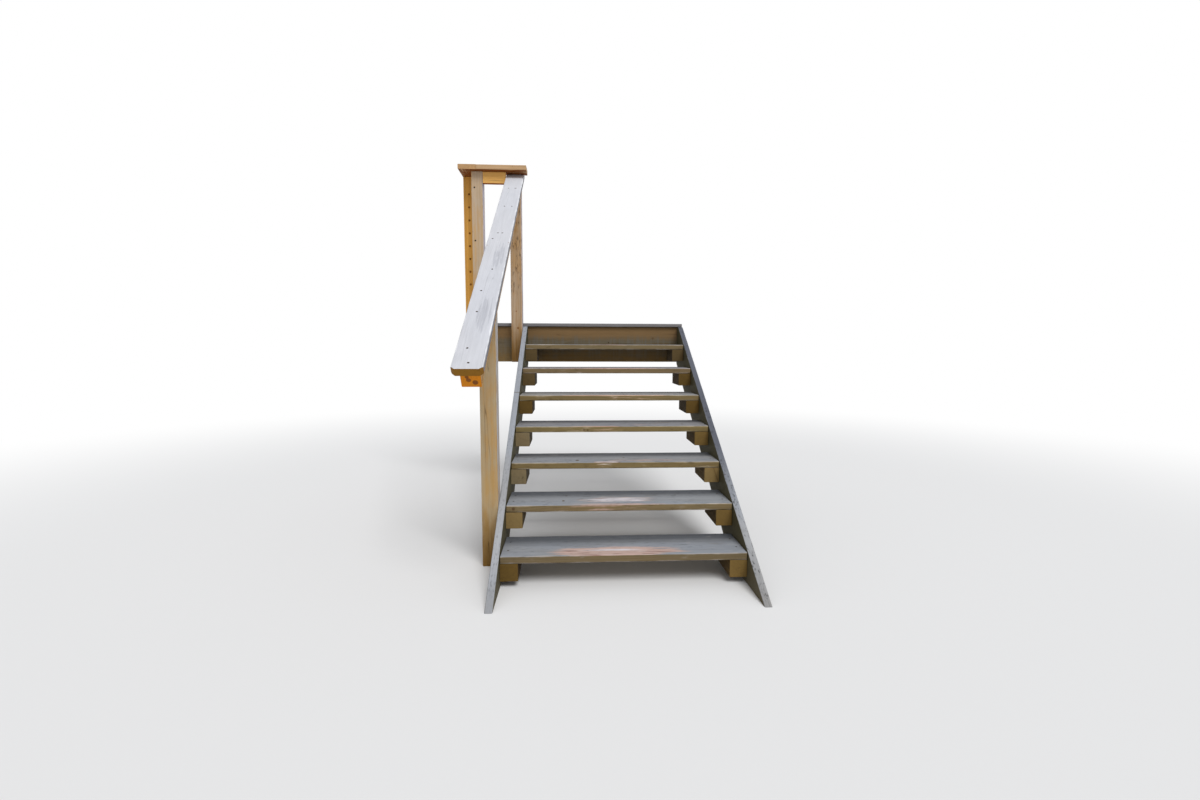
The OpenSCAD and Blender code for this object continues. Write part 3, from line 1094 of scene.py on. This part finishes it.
def make_camera():
    forward = Vector((sin(CAMERA_YAW), cos(CAMERA_YAW), 0))
    ahead = forward*cos(CAMERA_DOWN) - UP*sin(CAMERA_DOWN)
    level = Vector((cos(CAMERA_YAW), -sin(CAMERA_YAW), 0))
    below = ahead.cross(level)
    right = cos(CAMERA_ROLL)*level + sin(CAMERA_ROLL)*below
    down = cos(CAMERA_ROLL)*below - sin(CAMERA_ROLL)*level
    camera = link("photo_camera", bpy.data.cameras.new("photo_camera"))
    camera.data.sensor_width = SENSOR_MM
    camera.data.lens = SENSOR_MM*FOCAL_PIXELS/PHOTO_WIDTH
    camera.data.clip_end = SIGHT
    axes = Matrix((right, -down, -ahead)).transposed().to_4x4()
    camera.matrix_world = Matrix.Translation(CAMERA_AT) @ axes
    bpy.context.scene.camera = camera


WHITE = (1, 1, 1, 1)
FLOOR_GREY = (0.8, 0.8, 0.8, 1)
FLOOR_HALF = 60.0
# The floor fades to white between these distances from the middle of the stairs
FADE_FROM = 3.0
FADE_TO = 8.0
MIDDLE_Y = -1.0


def seen(graph):
    """1 where the camera, or a mirror or glass, looks at a surface directly."""
    rays = graph.add_all("ShaderNodeLightPath", {},
                         ("Is Camera Ray", "Is Glossy Ray", "Is Transmission Ray"))
    return graph.math("ADD", rays[0] + rays[1], rays[2], clamp=True)


def make_floor():
    """A pale floor that fades into the white backdrop away from the stairs."""
    graph = Graph(bpy.data.materials.new("floor"))
    x, y, _ = graph.split(graph.position())
    fade = graph.step(graph.length(x, y - MIDDLE_Y), FADE_FROM, FADE_TO)*seen(graph)
    floor = graph.add("ShaderNodeBsdfDiffuse", {"Color": FLOOR_GREY})
    white = graph.add("ShaderNodeEmission", {"Color": WHITE, "Strength": 1.0})
    mesh = bpy.data.meshes.new("floor")
    corners = [(x*FLOOR_HALF, y*FLOOR_HALF, GROUND) for x, y in ((-1, -1), (1, -1), (1, 1), (-1, 1))]
    mesh.from_pydata(corners, [], [(0, 1, 2, 3)])
    mesh.materials.append(graph.finish(graph.add("ShaderNodeMixShader", {0: fade, 1: floor, 2: white})))
    link("floor", mesh)


# Soft studio light: an even sky and a wide sun from the upper right front
SKY_COLOUR = (0.97, 0.98, 1.0, 1)
SKY = 0.55
SUN = 0.6
SUN_FROM = Vector((0.24, -0.59, 0.77))
SUN_WIDTH = radians(30)


def make_lights():
    world = bpy.data.worlds.new("studio")
    bpy.context.scene.world = world
    graph = Graph(world)
    soft = graph.add("ShaderNodeBackground", {"Color": SKY_COLOUR, "Strength": SKY})
    white = graph.add("ShaderNodeBackground", {"Color": WHITE, "Strength": 1.0})
    graph.finish(graph.add("ShaderNodeMixShader", {0: seen(graph), 1: soft, 2: white}),
                 "ShaderNodeOutputWorld")
    sun = bpy.data.lights.new("sun", "SUN")
    sun.energy = SUN*pi
    sun.angle = SUN_WIDTH
    lamp = link("sun", sun)
    lamp.rotation_euler = SUN_FROM.to_track_quat("Z", "Y").to_euler()


dress_boards()
add_cable_ends()
make_camera()
make_floor()
make_lights()
bpy.context.scene.view_settings.view_transform = "Standard"
